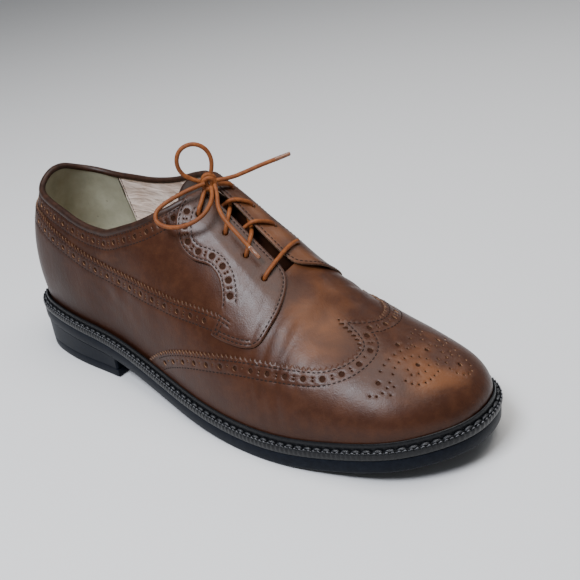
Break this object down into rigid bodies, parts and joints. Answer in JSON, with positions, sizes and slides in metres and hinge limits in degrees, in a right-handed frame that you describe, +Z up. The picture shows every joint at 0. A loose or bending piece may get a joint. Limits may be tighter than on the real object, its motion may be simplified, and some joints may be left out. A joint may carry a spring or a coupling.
{
  "type": "leather derby wingtip shoe",
  "caption": "Right-foot open-laced leather shoe with a perforated wing-tip upper, storm-welted sole, block heel and a tied round lace.",
  "frame": {"origin": "on the ground, under the middle of the sole's length and width", "axes": "+X towards the toe, +Y towards the inner (medial) side of the foot, +Z up"},
  "size_m": [0.305, 0.1092, 0.1424],
  "materials": {
    "upper_leather": "burnished semi-gloss full-grain leather",
    "binding_leather": "dark folded leather",
    "welt_leather": "waxed black",
    "sole_rubber": "satin black rubber",
    "quarter_lining_leather": "matt tan lining leather",
    "heel_suede": "matt suede",
    "insole_board": "matt leatherboard",
    "rib_canvas": "matt canvas",
    "shank_steel": "brushed",
    "cork": "matt granulated cork",
    "stiffener": "matt thermoplastic sheet",
    "lace_cord": "waxed round cotton cord",
    "aglet_plastic": "brown film tip",
    "eyelet_steel": "satin"
  },
  "bodies": {
    "root": {"outsole": "sole_rubber", "heel_block": "sole_rubber", "heel_top_piece": "sole_rubber", "welt": "welt_leather", "insole": "insole_board", "sock_liner": "quarter_lining_leather", "insole_rib": "rib_canvas", "shank": "shank_steel", "cork_filler": "cork", "quarter_lining_lateral": "quarter_lining_leather", "quarter_lining_medial": "quarter_lining_leather", "vamp_lining": "quarter_lining_leather", "toe_puff": "stiffener", "heel_lining": "heel_suede", "heel_counter": "stiffener", "quarter_lateral": "upper_leather", "quarter_medial": "upper_leather", "vamp": "upper_leather", "facing_lateral": "upper_leather", "facing_medial": "upper_leather", "wing_cap": "upper_leather", "topline_binding": "binding_leather", "lace_lacing": "lace_cord", "lace_loop_upper": "lace_cord", "lace_loop_lower": "lace_cord", "lace_end_medial": "lace_cord", "lace_end_lateral": "lace_cord", "lace_knot": "lace_cord", "aglet_medial": "aglet_plastic", "aglet_lateral": "aglet_plastic", "blind_eyelet_lateral_1": "eyelet_steel", "blind_eyelet_lateral_2": "eyelet_steel", "blind_eyelet_lateral_3": "eyelet_steel", "blind_eyelet_lateral_4": "eyelet_steel", "blind_eyelet_medial_1": "eyelet_steel", "blind_eyelet_medial_2": "eyelet_steel", "blind_eyelet_medial_3": "eyelet_steel", "blind_eyelet_medial_4": "eyelet_steel"},
    "tongue": {"tongue": "upper_leather"}
  },
  "joints": [
    {"name": "tongue_hinge", "type": "hinge", "parent": "root", "child": "tongue", "pos_m": [0.048, 0.0033, 0.0698], "axis": [0, -1, 0], "range_deg": [0, 15], "stiffness_Nm_per_rad": 0.1, "springref_deg": -3.44}
  ]
}
